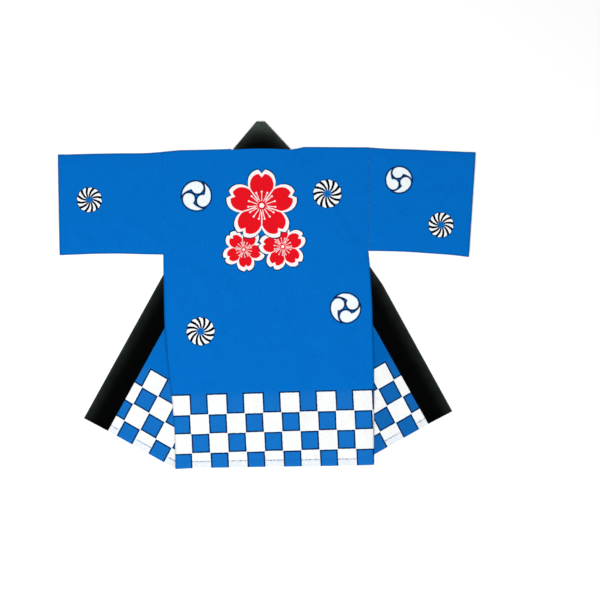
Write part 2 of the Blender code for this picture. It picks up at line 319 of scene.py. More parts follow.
# Colours, linear: (red, green, blue)
BLUE = (0.0008, 0.1235, 0.46)
PALE_BLUE = (0.0062, 0.1315, 0.449)  # the blue between the white checks
WHITE = (0.745, 0.76, 0.755)
CREST_WHITE = (0.735, 0.785, 0.8)
WHEEL_WHITE = (0.79, 0.82, 0.83)
BLOSSOM_WHITE = (0.8, 0.755, 0.765)
FRINGE_BLUE = (0.3, 0.42, 0.62)
NAVY = (0.001, 0.013, 0.06)
INK = (0.0008, 0.001, 0.005)
RED = (0.655, 0.006, 0.0125)
SHOW_THROUGH = (0.58, 0.64, 0.7)  # white cloth over a turned-up hem
STITCHED = (0.2, 0.27, 0.37)  # white cloth along the stitches: the hem showing through, with painted shade where their pull draws the cloth in
REVERSE_BLUE = (0.06, 0.21, 0.5)  # the inside of the printed cloth
BLACK = (0.0006, 0.0007, 0.0007)
# painted sheen: the lighter black where the light catches the band's edges
SHEEN_BLACK = (0.046, 0.062, 0.051)
BLUE_THREAD = (0.002, 0.1, 0.38)
BLACK_THREAD = (0.004, 0.0045, 0.0045)

FOLD_SHADE = 0.42  # painted shade: how much darker the cloth is along its folded and sewn edges, where they turn away from the light
FOLD_REACH = 3.0  # how far in from such an edge that shade fades
# The fronts' blue is darker than the back's, their whites the same
FRONT_TONES = {"left": 0.95, "right": 0.805}

# Dye and yarn: (size of the spots, strength), and for the slubs their length too
MOTTLE = (38.0, 0.045)
FINE_MOTTLE = (7.0, 0.045)
SLUBS = (2.2, 0.1, 8.0)
SLUB_RELIEF = 0.7  # how far the slubs stand out
BLEED = (7.0, 0.7)  # how the edges of the prints wander
PATCHES = (6.0, 0.5, 0.55)  # where the hem shows through: size, strength and level
TUGS = (7.0, 2.0, 0.55)  # where the stitches pull, the same, for the show-through and painted shade along them
YARN = 1.1  # pitch of the weave
BAND_YARN = 0.9
YARN_RELIEF = 0.12  # as a share of that pitch
BAND_MOTTLE = (26.0, 0.5)
BAND_SLUBS = (1.4, 0.16, 24.0)
BAND_SLUB_RELIEF = 0.4
THREAD_SHADE = (0.8, 0.12)
THREAD_RELIEF = (0.3, 0.05)
RELIEF_STRENGTH = 0.3  # of every finish's relief
SHEEN = 0.015  # cotton hardly shines
ROUGHNESS = {"cotton": 0.95, "band": 0.9, "thread": 0.7, "floor": 0.9}

# Beside the stitches
STITCH_REACH = 1.69  # how far out the show-through along them, with painted shade of their pull, darkens a white check
DRAWN_IN = (1.58, 0.35)  # reach and depth of the groove they lie in
GATHERS = (4.5, 7.07, 0.3)  # size, reach and height of the finest gathers

# Painted sheen on the band's arms and on the neck, where the light catches their edges:
# (reach, strength) from the free edge, and then from the sharp edge or from the folds
ARM_SHEEN = ((18.97, 0.18), (2.5, 0.4))
NECK_SHEEN = ((30.0, 0.72), (10.0, 0.4))

# Picture and light, in metres: the camera looks straight down
LENS = 85.0  # millimetres, as is the sensor
SENSOR = 36.0
VIEW_WIDTH = 1.602  # of floor across the picture
VIEW_CENTRE = (0.0901, -0.0134)
AMBIENT = 0.703
KEY_PLACE = (-0.7, -1.3, 3.0)
KEY_SIZE = 1.4
KEY_POWER = 73.0
FLOOR_SIZE = 4000.0  # half its side, in millimetres
FLOOR_DROP = 0.05  # under the cloth, in millimetres
FLOOR_WHITE = (0.93, 0.93, 0.93)


# Plan geometry


def smooth_share(value, start, end):
    """0 up to the start, 1 from the end, and a soft slope between."""
    share = min(max((value - start) / (end - start), 0.0), 1.0)
    return share * share * (3 - 2 * share)


def beyond(line, point):
    """How far a point lies beyond a line, held as (point on it, unit normal)."""
    return (Vector(point) - line[0]).dot(line[1])


def line_through(start, end, toward):
    """The line through two points, its normal on the side of a third."""
    start, end = Vector(start), Vector(end)
    along = (end - start).normalized()
    normal = Vector((-along.y, along.x))
    if normal.dot(Vector(toward) - start) < 0:
        normal.negate()
    return start, normal


def neck_seam(x):
    """The back's neck edge, a low curve between the two shoulders."""
    middle = sum(NECK_ENDS) / 2
    half = (NECK_ENDS[1] - NECK_ENDS[0]) / 2
    return NECK_Y + NECK_RISE * max(0.0, 1 - ((x - middle) / half) ** 2)


def softened(points, steps=CURVE_STEPS):
    """A smooth curve through points of any number of columns."""
    points = [Vector(point) for point in points]
    if len(points) < 3:
        return points
    ends = [points[0] * 2 - points[1], *points, points[-1] * 2 - points[-2]]
    curve = []
    for before, start, end, after in zip(ends, ends[1:], ends[2:], ends[3:]):
        for i in range(steps):
            t = i / steps
            curve.append(
                (
                    start * 2
                    + (end - before) * t
                    + (before * 2 - start * 5 + end * 4 - after) * t**2
                    + (start * 3 - before - end * 3 + after) * t**3
                )
                / 2
            )
    return curve + [points[-1]]


def point_along(line, share):
    """The point at this share of a line's length."""
    lengths = [(end - start).length for start, end in zip(line, line[1:])]
    left = share * sum(lengths)
    for start, end, length in zip(line, line[1:], lengths):
        if left <= length:
            return start.lerp(end, left / length)
        left -= length
    return line[-1].copy()


def distance_to(line, point):
    """From a point to the nearest place on a line."""
    best = math.inf
    for start, end in zip(line, line[1:]):
        along = end - start
        share = min(max((point - start).dot(along) / along.length_squared, 0), 1)
        best = min(best, (point - start - along * share).length)
    return best


# The folds that shape the layers


def collar_turn(side):
    """Where the band turns at one end of the neck seam: its centre, and the unit
    vectors along the fold and out of the coat."""
    outward = side["outward"]
    end = 0 if outward < 0 else 1
    corner = Vector((NECK_ENDS[end], NECK_Y))
    along = (Vector((PEAK_ENDS[end], PEAK_Y)) - corner).normalized()
    out = Vector((along.y, -along.x)) * outward
    fold = corner - out * (NECK_FOLD + BAND / 2)
    climb = (neck_seam(fold.x) + NECK_GAP - fold.y) / along.y
    return fold + along * (climb - PIVOT), along, out


def band_start(side):
    """The unit vector across the band where it leaves the turn."""
    centre = collar_turn(side)[0]
    down = (Vector(side["band_edge"][1]) - centre).normalized()
    across = Vector((-down.y, down.x)) * -side["outward"]
    return across if across.x * side["outward"] < 0 else -across


def lines_of(side):
    """The plan lines that a side's layers bend along."""
    centre = collar_turn(side)[0]
    across = band_start(side)
    edge = centre + across * PIVOT
    outer = line_through(side["band_edge"][1], edge, side["sleeve"][-1][:2])
    top = centre + across * BAND_END
    inner = line_through(side["seam_edge"][1], top, (-side["outward"] * FAR, 0.0))
    foot = Vector(side["front_hem"][-1])
    lean = math.radians(side["fold_angle"])
    up = Vector((-side["outward"] * math.sin(lean), math.cos(lean)))
    inward = Vector((-side["outward"] * up.y, side["outward"] * up.x))
    return outer, inner, (foot, inward), up


LINES = {name: lines_of(side) for name, side in SIDES.items()}


def front_height(name, point):
    drop = smooth_share(beyond(LINES[name][0], point), *OUTER_DROP)
    return FRONT_LAYER - (FRONT_LAYER - FLOOR_LAYER) * drop


def back_height(point):
    """The back lies on the fronts and comes down to the floor between them."""
    heights = []
    for name, (outer, inner, fold, _) in LINES.items():
        if beyond(outer, point) > 0:
            return front_height(name, point) + BACK_ON_FRONT
        past = min(beyond(fold, point), beyond(inner, point))
        drop = smooth_share(past, *INNER_DROP)
        heights.append(BACK_LAYER - (BACK_LAYER - FLOOR_LAYER) * drop)
    return max(heights)


# Creases and hems


def crease_height(crease, point):
    start, end = Vector((crease.x, crease.y)), Vector((crease.x_end, crease.y_end))
    along = end - start
    share = (point - start).dot(along) / along.length_squared
    if not 0 < share < 1:
        return 0.0
    side = (point - start).cross(along.normalized()) - crease.bow * 4 * share * (1 - share)
    if abs(side) > CREASE_REACH * crease.width:
        return 0.0
    taper = smooth_share(share, *CREASE_RISE) * (1 - smooth_share(share, *CREASE_FALL))
    return crease.height * taper * math.exp(-((side / crease.width) ** 2))


def creased(point, creases, noise_slice):
    """How far creases and soft unevenness lift the cloth, never below its layer."""
    lift = sum(crease_height(crease, point) for crease in creases)
    for size, height in UNEVEN:
        spot = Vector((point.x / size, point.y / size, noise_slice))
        lift += height * (0.5 + 0.5 * noise.noise(spot))
    return lift


def puckered(point, from_stitches):
    """The small gathers beside a hem's stitches."""
    spacing, height, reach = PUCKER
    near = math.exp(-((from_stitches / reach) ** 2))
    spot = Vector((point.x / spacing, point.y / spacing, PUCKER_NOISE))
    return height * near * (0.5 + 0.5 * noise.noise(spot))


def waved(point, from_edge):
    """The low waves of a loose edge."""
    spacing, height, reach = WAVE
    spot = Vector((point.x / spacing, point.y / spacing, WAVE_NOISE))
    lifted = max(0.0, WAVE_SHARE + noise.noise(spot))
    return height * math.exp(-from_edge / reach) * lifted


def hem_share(from_stitches):
    """1 on the turned-up hem, 0 on the single cloth."""
    return 1 - smooth_share(from_stitches, *HEM_STEP)


def hem_lift(from_stitches):
    return (HEM_WALL - CLOTH) / 2 * hem_share(from_stitches)


# Making pieces


def finished(shape, name, *materials):
    """Makes an object of a shape, in metres."""
    bmesh.ops.scale(shape, vec=(METRES,) * 3, verts=shape.verts[:])
    mesh = bpy.data.meshes.new(name)
    shape.to_mesh(mesh)
    shape.free()
    mesh.shade_smooth()
    for material in materials:
        mesh.materials.append(material)
    piece = bpy.data.objects.new(name, mesh)
    bpy.context.scene.collection.objects.link(piece)
    return piece


def give_wall(piece, wall, reverse=1, hems=False):
    """Gives a piece its thickness, thicker on its hems, and rounds its edges."""
    thick = piece.modifiers.new("wall", "SOLIDIFY")
    thick.thickness = (HEM_WALL if hems else wall) * METRES
    thick.offset = 0.0
    thick.material_offset = reverse
    if hems:
        thick.vertex_group = "hem"
        thick.thickness_vertex_group = wall / HEM_WALL
    edge = piece.modifiers.new("edge", "BEVEL")
    edge.width = wall * METRES * EDGE_ROUND
    edge.segments = 2
    edge.limit_method = "ANGLE"
    edge.angle_limit = math.radians(SHARP_EDGE)
    edge.use_clamp_overlap = True


def declare_cut(piece, held, rests_on, *stitches):
    """Measures a piece's cut on its print, its area, width and length, and keeps none of
    them.
    """
    spots = [loop.uv.copy() for loop in piece.data.uv_layers["cut"].data]
    area = 0.0
    for face in piece.data.polygons:
        corners = [spots[i] for i in face.loop_indices]
        following = corners[1:] + corners[:1]
        area += abs(sum(a.cross(b) for a, b in zip(corners, following))) / 2
    width, length = (
        max(spot[axis] for spot in spots) - min(spot[axis] for spot in spots)
        for axis in range(2)
    )


def mark_hem(piece, from_stitches, from_folds):
    """Notes how far each point lies from the hem's stitches, towards the piece, and
    from the folded and sewn edges round it."""
    group = piece.vertex_groups.new(name="hem")
    for index, distance in enumerate(from_stitches):
        if hem_share(distance) > 0:
            group.add([index], hem_share(distance), "REPLACE")
    notes = {"from_stitches": from_stitches, "from_folds": from_folds}
    for name, distances in notes.items():
        note = piece.data.attributes.new(name, "FLOAT", "POINT")
        note.data.foreach_set("value", distances)


def patch(low, high, left, right):
    """A grid of faces between four lines: low and high run left to right, left and
    right run upwards."""
    width = max((low[0] - low[-1]).length, (high[0] - high[-1]).length)
    height = max((left[0] - left[-1]).length, (right[0] - right[-1]).length)
    across, up = round(width / WEAVE), round(height / WEAVE)
    shape = bmesh.new()
    bmesh.ops.create_grid(shape, x_segments=across, y_segments=up, size=0.5)
    corners = low[0], low[-1], high[0], high[-1]
    rows = {}
    for vert in shape.verts:
        u, v = round((vert.co.x + 0.5) * across), round((vert.co.y + 0.5) * up)
        for key, line, share in (
            (("low", u), low, u / across),
            (("high", u), high, u / across),
            (("left", v), left, v / up),
            (("right", v), right, v / up),
        ):
            if key not in rows:
                rows[key] = point_along(line, share)
        u_share, v_share = u / across, v / up
        flat = rows["low", u].lerp(rows["high", u], v_share)
        flat += rows["left", v].lerp(rows["right", v], u_share)
        flat -= corners[0].lerp(corners[1], u_share).lerp(
            corners[2].lerp(corners[3], u_share), v_share
        )
        vert.co = (flat.x, flat.y, 0)
    shape.normal_update()
    return shape


def add_roll_rows(shape):
    """Puts rows of small faces along the edge, and says how far in each point lies."""
    for width in ROLL_ROWS:
        bmesh.ops.inset_region(
            shape,
            faces=shape.faces[:],
            thickness=width,
            use_boundary=True,
            use_even_offset=True,
        )
    roll = {vert: 1.0 for vert in shape.verts if vert.is_boundary}
    for share in ROLL_SHARES:
        ring = {edge.other_vert(vert) for vert in roll for edge in vert.link_edges}
        roll.update({vert: share for vert in ring if vert not in roll})
    return roll


def lay_print(shape, name, where):
    """A UV map, in metres, that says where each point lies on the printed cloth."""
    layer = shape.loops.layers.uv.new(name)
    for face in shape.faces:
        for loop in face.loops:
            loop[layer].uv = Vector(where(loop.vert.co.xy)) * METRES


def on_checks(lattice):
    """Turns a plan point into one on the printed checks, across and down."""
    corner, across, down = (Vector(part) for part in lattice)
    area = across.cross(down)

    def where(point):
        offset = point - corner
        return (
            offset.cross(down) / area * CHECK[0],
            -offset.cross(across) / area * CHECK[1],
        )

    return where


# Back


def back_outline():
    left, right = SIDES["left"], SIDES["right"]
    low = [Vector(left["side_seam"][0]), *map(Vector, HEM_POINTS)]
    low.append(Vector(right["side_seam"][0]))
    steps = range(NECK_STEPS + 1)
    width = NECK_ENDS[1] - NECK_ENDS[0]
    neck = [NECK_ENDS[0] + width * i / NECK_STEPS for i in steps]
    high = [Vector(point) for point in left["shoulder"][:-1]]
    high += [Vector((x, neck_seam(x))) for x in neck]
    high += [Vector(point) for point in reversed(right["shoulder"][:-1])]
    edges = [
        softened(side["side_seam"]) + [Vector(side["shoulder"][0])]
        for side in (left, right)
    ]
    return low, high, *edges


def back_surface(point, hem_line):
    """The height of the middle of the back's cloth."""
    from_edge = distance_to(hem_line, point)
    return (
        back_height(point)
        + creased(point, BACK_CREASES, BACK_NOISE)
        + waved(point, from_edge)
        + puckered(point, from_edge - HEM)
        + hem_lift(from_edge - HEM)
    )


def make_back(printed, reverse):
    low, high, left, right = back_outline()
    shape = patch(low, high, left, right)
    roll = add_roll_rows(shape)
    lay_print(shape, "cut", lambda at: at)
    lay_print(shape, "checks", on_checks(BACK_CHECKS))
    folded = [
        [Vector(point) for point in side[line]]
        for side in SIDES.values()
        for line in ("side_seam", "shoulder")
    ]
    from_stitches = []
    from_folds = []
    for vert in shape.verts:
        at = vert.co.xy
        from_stitches.append(distance_to(low, at) - HEM)
        from_folds.append(min(distance_to(line, at) for line in folded))
        vert.co.z = back_surface(at, low) - ROLL * roll.get(vert, 0)
    piece = finished(shape, "back_cloth", printed, reverse)
    mark_hem(piece, from_stitches, from_folds)
    give_wall(piece, CLOTH, hems=True)
    return piece


# Fronts


class FrontCut:
    """The flat cut of a front, and how it is folded under itself."""

    def __init__(self, name):
        self.side = SIDES[name]
        _, inner, self.fold, self.up = LINES[name]
        self.foot, self.inward = self.fold
        self.turn = math.pi * FRONT_FOLD
        hem_end, bend = (Vector(point) for point in self.side["seam_edge"])
        turn_centre = collar_turn(self.side)[0]
        band_top = turn_centre + band_start(self.side) * BAND_END
        seam_up = (band_top - bend).normalized()
        reach = -(bend - self.foot).dot(self.inward) - TIP_CLEARANCE
        self.tip = bend + seam_up * reach / seam_up.dot(self.inward)
        gap = inner[1] * SEAM_GAP
        seam = [hem_end + gap, bend + gap, self.tip + gap]
        self.out_hem = [Vector(point) for point in self.side["out_hem"][:-1]]
        self.out_hem = [self.foot, *self.out_hem, seam[0]]
        self.band_seam = [self.unfolded(point) for point in seam]

    def unfolded(self, point):
        """Where a point of the folded-out part lies in the flat cut."""
        offset = Vector(point) - self.foot
        across = self.turn - offset.dot(self.inward)
        return self.foot + self.up * offset.dot(self.up) + self.inward * across

    def folded_plan(self, at):
        """Where a point of the flat cut lies in plan, beyond the fold."""
        past = beyond(self.fold, at)
        return at + self.inward * (self.turn - 2 * past)

    def edges(self):
        """The cut's hem, shoulder and side seam, and its front edge up to the neck."""
        low = [Vector(point) for point in self.side["front_hem"]]
        low += [self.unfolded(point) for point in self.out_hem]
        high = [Vector(point) for point in self.side["shoulder"]]
        left = softened([self.side["front_hem"][0], *self.side["side_seam"][1:]])
        left.append(high[0])
        rise = (self.tip - self.foot).dot(self.up) + TIP_RISE
        fold_end = self.foot + self.up * rise - self.inward * GAP
        right = [*self.band_seam, fold_end, high[-1]]
        return low, high, left, right

    def out_surface(self, plan, from_edge, from_band):
        """The height of the middle of the folded-out cloth."""
        clear_of_fold = smooth_share(-beyond(self.fold, plan), *OFF_FRONT_FOLD)
        lift = creased(plan, FRONT_CREASES, FRONT_NOISE) + waved(plan, from_edge)
        lift = lift * clear_of_fold + puckered(plan, from_edge - HEM)
        lift += hem_lift(from_edge - HEM)
        near_band = math.exp(-((from_band / BAND_CLIMB) ** 2))
        into_band = (BAND_LAYER - FLOOR_LAYER) * near_band
        return FLOOR_LAYER + max(lift, into_band)


def make_front(name, printed, reverse):
    cut = FrontCut(name)
    low, high, left, right = cut.edges()
    shape = patch(low, high, left, right)
    add_roll_rows(shape)
    for i in range(FRONT_FOLD_STEPS + 1):
        spot = cut.foot + cut.inward * cut.turn * i / FRONT_FOLD_STEPS
        bmesh.ops.bisect_plane(
            shape,
            geom=shape.verts[:] + shape.edges[:] + shape.faces[:],
            dist=NEAR,
            plane_co=spot.to_3d(),
            plane_no=cut.inward.to_3d(),
        )
    bmesh.ops.remove_doubles(shape, verts=shape.verts[:], dist=SLIVER)
    lay_print(shape, "cut", lambda at: at)
    on_lattice = on_checks(cut.side["checks"])
    lay_print(shape, "checks", lambda at: on_lattice(cut.folded_plan(at)))
    edge = {vert for vert in shape.verts if vert.is_boundary}
    folded_out = set()
    from_stitches = []
    from_folds = []
    for vert in shape.verts:
        at = vert.co.xy
        from_edge = distance_to(low, at)
        from_stitches.append(from_edge - HEM)
        hemmed = hem_lift(from_edge - HEM)
        past = beyond(cut.fold, at)
        from_folds.append(abs(past - cut.turn / 2))
        rolled = ROLL if vert in edge else 0.0
        if past <= 0:
            vert.co.z = front_height(name, at) + rolled
        elif past >= cut.turn:
            plan = cut.folded_plan(at)
            from_band = distance_to(cut.band_seam, at)
            height = cut.out_surface(plan, from_edge, from_band)
            vert.co = (plan.x, plan.y, height)
            folded_out.add(vert)
        else:
            angle = past / FRONT_FOLD
            plan = at + cut.inward * (FRONT_FOLD * math.sin(angle) - past)
            drop = FRONT_FOLD * (1 - math.cos(angle))
            vert.co = (plan.x, plan.y, FRONT_LAYER - drop + hemmed)
    shape.normal_update()
    out = [face for face in shape.faces if folded_out.issuperset(face.verts)]
    if sum(face.normal.z * face.calc_area() for face in out) < 0:
        bmesh.ops.reverse_faces(shape, faces=shape.faces[:])
    piece = finished(shape, f"front_{name}_cloth", printed, reverse)
    mark_hem(piece, from_stitches, from_folds)
    give_wall(piece, CLOTH, hems=True)
    return piece


# Sleeves


def sleeve_rows(side):
    """Rows of the sleeve from the armhole to the cuff, a face's width apart."""
    rows = softened(side["sleeve"], SLEEVE_STEPS)
    length = abs(rows[-1][2] - rows[0][2])
    count = round(length / WEAVE)
    return [point_along(rows, i / count) for i in range(count + 1)]


def sleeve_rise(row, y):
    """How far the sleeve's upper layer stands over the lower one."""
    _, y_under, _, y_top, hollow = row
    from_edge = min(y - y_under, y_top - y)
    puffed = 1 - math.exp(-from_edge / SLEEVE_PUFF)
    return CLOTH + GAP + (hollow - GAP) * puffed


def sleeve_surface(row, plan, from_cuff):
    """The height of the middle of the sleeve's upper layer."""
    from_folds = min(plan.y - row[1], row[3] - plan.y)
    from_armhole = abs(plan.x) - abs(SIDES["left"]["sleeve"][0][0])
    lift = creased(plan, SLEEVE_CREASES, SLEEVE_NOISE) + waved(plan, from_cuff)
    lift *= smooth_share(from_folds, *OFF_SLEEVE_FOLDS)
    lift *= smooth_share(from_armhole, *OFF_ARMHOLE)
    # It lies on the lower layer's hem, so its own hem is lifted three times
    hem = 3 * hem_lift(from_cuff - CUFF) + puckered(plan, from_cuff - CUFF)
    return FLOOR_LAYER + sleeve_rise(row, plan.y) + lift + hem


def tube_spot(step, y_under, y_top):
    """Where a step round the flat tube lies across the sleeve, where it lies in the
    cut, and how far the cloth has turned over: 0 on the lower layer, 1 on the upper."""
    margin = SLEEVE_FOLD + CLOTH / 2
    low, high = y_under + margin, y_top - margin
    half = SLEEVE_ROWS + SLEEVE_FOLD_ROWS
    if step <= SLEEVE_ROWS:
        y = low + (high - low) * step / SLEEVE_ROWS
        return y, 2 * y_top - y, 0
    if half <= step <= half + SLEEVE_ROWS:
        y = high - (high - low) * (step - half) / SLEEVE_ROWS
        return y, y, 1
    at_top = step < half
    into_fold = step - SLEEVE_ROWS - (0 if at_top else half)
    angle = math.pi * into_fold / SLEEVE_FOLD_ROWS
    bulge, turned = SLEEVE_FOLD * math.sin(angle), (1 - math.cos(angle)) / 2
    if at_top:
        return high + bulge, y_top + margin * math.cos(angle), turned
    return low - bulge, y_under + margin * math.cos(angle), 1 - turned


def make_sleeve(name, printed, plain, reverse):
    """A flat tube: its two layers meet in the shoulder fold and the underarm seam."""
    rows = sleeve_rows(SIDES[name])
    along = len(rows) - 1
    around = 2 * (SLEEVE_ROWS + SLEEVE_FOLD_ROWS)
    shape = bmesh.new()
    bmesh.ops.create_grid(shape, x_segments=along, y_segments=around, size=0.5)
    cut = shape.loops.layers.uv.new("cut")
    places = {}
    edges = {}
    for vert in shape.verts:
        row = rows[round((vert.co.x + 0.5) * along)]
        x_under, y_under, x_top, y_top, _ = row
        y, y_cut, turned = tube_spot(round((vert.co.y + 0.5) * around), y_under, y_top)
        x = x_under + (x_top - x_under) * (y - y_under) / (y_top - y_under)
        from_cuff = (row - rows[-1]).xy.length
        lower = FLOOR_LAYER + hem_lift(from_cuff - CUFF)
        upper = sleeve_surface(row, Vector((x, y)), from_cuff)
        z = lower + (upper - lower) * turned
        places[vert] = Vector((x, y, z)), Vector((x, y_cut))
        edges[vert] = from_cuff - CUFF, min(from_cuff, y - y_under, y_top - y)
    for face in shape.faces:
        for loop in face.loops:
            loop[cut].uv = places[loop.vert][1] * METRES
    for vert, (place, _) in places.items():
        vert.co = place
    bmesh.ops.remove_doubles(shape, verts=shape.verts[:], dist=NEAR)
    bmesh.ops.recalc_face_normals(shape, faces=shape.faces[:])
    for face in shape.faces:
        if face.normal.z < 0 and face.calc_center_median().z < 2 * CLOTH:
            face.material_index = 1
    if max(shape.faces, key=lambda face: face.calc_center_median().z).normal.z < 0:
        bmesh.ops.reverse_faces(shape, faces=shape.faces[:])
    distances = zip(*(edges[vert] for vert in shape.verts))
    piece = finished(shape, f"sleeve_{name}_cloth", printed, plain, reverse)
    mark_hem(piece, *distances)
    give_wall(piece, CLOTH, reverse=2, hems=True)
    return piece


# Collar


def band_crown(share):
    """How far the band swells at this share of its width."""
    return BAND_CROWN * (1 - (2 * share - 1) ** 2)


def band_ring(start, end, height=BAND_LAYER):
    """Points across the band, from its outer or neck edge to the other."""
    ring = []
    for i in range(BAND_STRIPS + 1):
        share = i / BAND_STRIPS
        place = start.lerp(end, share).to_3d()
        place.z = height + band_crown(share)
        ring.append(place)
    return ring


def half_collar(side):
    """Rings from the hem up one arm, round the end of the neck seam and over it."""
    centre, along, out = collar_turn(side)
    across = band_start(side)
    middle = (sum(NECK_ENDS) + side["outward"] * HALVES_GAP) / 2
    turn_start = centre + across * PIVOT, centre + across * BAND_END
    edge = [*map(Vector, side["band_edge"]), turn_start[0]]
    seam = [*map(Vector, side["seam_edge"]), turn_start[1]]
    rings = []
    for part in range(2):
        steps = round((edge[part + 1] - edge[part]).length / (2 * WEAVE))
        for i in range(steps):
            start = edge[part].lerp(edge[part + 1], i / steps)
            end = seam[part].lerp(seam[part + 1], i / steps)
            rings.append(band_ring(start, end))
    first = math.atan2(across.y, across.x) % (2 * math.pi)
    turning = along.angle_signed(across)
    for i in range(FAN_STEPS + 1):
        angle = first + turning * i / FAN_STEPS
        toward = Vector((math.cos(angle), math.sin(angle)))
        reach = (middle - centre.x) / toward.x
        if toward.y > 0:
            reach = min(reach, (PEAK_Y - centre.y) / toward.y)
        else:
            reach = min(reach, BAND_END)
        rings.append(band_ring(centre + toward * PIVOT, centre + toward * reach))
    for i in range(1, TURN_STEPS + 1):
        angle = math.pi * i / TURN_STEPS
        start = centre + along * PIVOT + out * NECK_FOLD * math.sin(angle)
        end = start + along * (PEAK_Y - start.y) / along.y
        height = BAND_LAYER + NECK_FOLD * (1 - math.cos(angle))
        rings.append(band_ring(start, end, height))
    return rings


def make_collar(cloth):
    left, right = half_collar(SIDES["left"]), half_collar(SIDES["right"])
    ends = [(ring[0].xy, ring[-1].xy) for ring in (left[-1], right[-1])]
    over_neck = []
    for i in range(1, NECK_STEPS):
        base, peak = (a.lerp(b, i / NECK_STEPS) for a, b in zip(*ends))
        base.y = neck_seam(base.x) + NECK_GAP
        over_neck.append(band_ring(base, peak, NECK_LAYER))
    rings = left + over_neck + right[::-1]
    along = len(rings) - 1
    shape = bmesh.new()
    bmesh.ops.create_grid(shape, x_segments=along, y_segments=BAND_STRIPS, size=0.5)
    # distances that place the band's painted sheen
    painted_sheen = shape.verts.layers.float_vector.new("painted_sheen")
    arm_rings = len(left) - FAN_STEPS - TURN_STEPS - 1
    folds = [line_through(*end, NECK_FOOT) for end in ends]
    for vert in shape.verts:
        index = round((vert.co.x + 0.5) * along)
        strip = round((vert.co.y + 0.5) * BAND_STRIPS)
        vert.co = rings[index][strip]
        if min(index, along - index) <= arm_rings:
            vert[painted_sheen] = (BAND_WIDTH * strip / BAND_STRIPS, 0, 0)
        else:
            from_fold = min(beyond(fold, vert.co.xy) for fold in folds)
            vert[painted_sheen] = (PEAK_Y - vert.co.y, max(from_fold, 0), 1)
    bmesh.ops.remove_doubles(shape, verts=shape.verts[:], dist=NEAR)
    bmesh.ops.recalc_face_normals(shape, faces=shape.faces[:])
    first = min(shape.faces, key=lambda face: face.calc_center_median().y)
    if first.normal.z < 0:
        bmesh.ops.reverse_faces(shape, faces=shape.faces[:])
    piece = finished(shape, "collar_band", cloth)
    give_wall(piece, BAND, reverse=0)
    middles = [ring[BAND_STRIPS // 2] for ring in rings]
    length = sum((end - start).length for start, end in zip(middles, middles[1:]))
    return piece, length


# Stitches


def evenly(line, spacing):
    """Points along a line, this far apart."""
    length = sum((end - start).length for start, end in zip(line, line[1:]))
    count = max(1, round(length / spacing))
    return [point_along(line, i / count) for i in range(count + 1)]


def moved_in(line, distance):
    """A line from left to right, moved to its left by a distance."""
    moved = []
    for i, point in enumerate(line):
        along = line[min(i + 1, len(line) - 1)] - line[max(i - 1, 0)]
        moved.append(point + Vector((-along.y, along.x)).normalized() * distance)
    return moved


def make_stitches(name, line, surface, cloth):
    """One small rounded thread for each stitch along a line on the cloth."""
    shape = bmesh.new()
    length, width, height = STITCH_THREAD
    around, upward = STITCH_FACES
    spots = evenly(line, STITCH)
    spots = [spot.to_3d() + Vector((0, 0, surface(spot))) for spot in spots]
    for start, end in zip(spots, spots[1:]):
        turn = (end - start).to_track_quat("X", "Z").to_matrix().to_4x4()
        size = Matrix.Diagonal((length / 2, width / 2, height / 2, 1))
        bmesh.ops.create_uvsphere(
            shape,
            u_segments=around,
            v_segments=upward,
            radius=1.0,
            matrix=Matrix.Translation((start + end) / 2) @ turn @ size,
        )
    return finished(shape, name, cloth)


def back_hem_stitches(cloth):
    low = back_outline()[0]
    line = moved_in(low, HEM)
    line[0].x += HEM_END
    line[-1].x -= HEM_END

    def surface(at):
        return back_surface(at, low) + STITCH_SEAT

    return make_stitches("hem_stitches_back", line, surface, cloth)


def front_hem_stitches(name, cloth):
    cut = FrontCut(name)
    low = cut.edges()[0]
    line = moved_in(cut.out_hem, HEM * cut.side["outward"])
    line[0] = line[0].lerp(line[-1], FRONT_FOLD_END)
    line[-1] = line[-1].lerp(line[0], FRONT_BAND_END)

    def surface(at):
        flat = cut.unfolded(at)
        from_band = distance_to(cut.band_seam, flat)
        return cut.out_surface(at, distance_to(low, flat), from_band) + STITCH_SEAT

    return make_stitches(f"hem_stitches_front_{name}", line, surface, cloth)


def cuff_stitches(name, cloth):
    side = SIDES[name]
    row = sleeve_rows(side)[-1]
    inward = Vector((-side["outward"] * CUFF, 0))
    under, top = Vector(row[:2]) + inward, Vector(row[2:4]) + inward
    line = [under.lerp(top, share) for share in (CUFF_END, 1 - CUFF_END)]

    def surface(at):
        return sleeve_surface(row, at, CUFF) + STITCH_SEAT

    return make_stitches(f"cuff_stitches_{name}", line, surface, cloth)


def arm_stitches(name, cloth):
    """Topstitching on the band, beside the seam to the front."""
    side = SIDES[name]
    share = 1 - BAND_STITCHES / BAND_WIDTH
    edge, seam = (list(map(Vector, side[key])) for key in ("band_edge", "seam_edge"))
    line = [start.lerp(end, share) for start, end in zip(edge, seam)]
    line[0] = line[0].lerp(line[1], ARM_END)
    height = BAND_LAYER + BAND / 2 + band_crown(share)
    return make_stitches(f"collar_stitches_{name}", line, lambda at: height, cloth)


def neck_stitches(cloth):
    """Topstitching along the foot of the collar, behind the neck."""
    start, end = NECK_ENDS[0] + NECK_END, NECK_ENDS[1] - NECK_END
    steps = [start + (end - start) * i / NECK_STEPS for i in range(NECK_STEPS + 1)]
    line = [Vector((x, neck_seam(x) + NECK_GAP + BAND_STITCHES)) for x in steps]
    height = NECK_LAYER + BAND / 2 + band_crown(BAND_STITCHES / BAND_WIDTH)
    return make_stitches("collar_stitches_neck", line, lambda at: height, cloth)


# Finishes


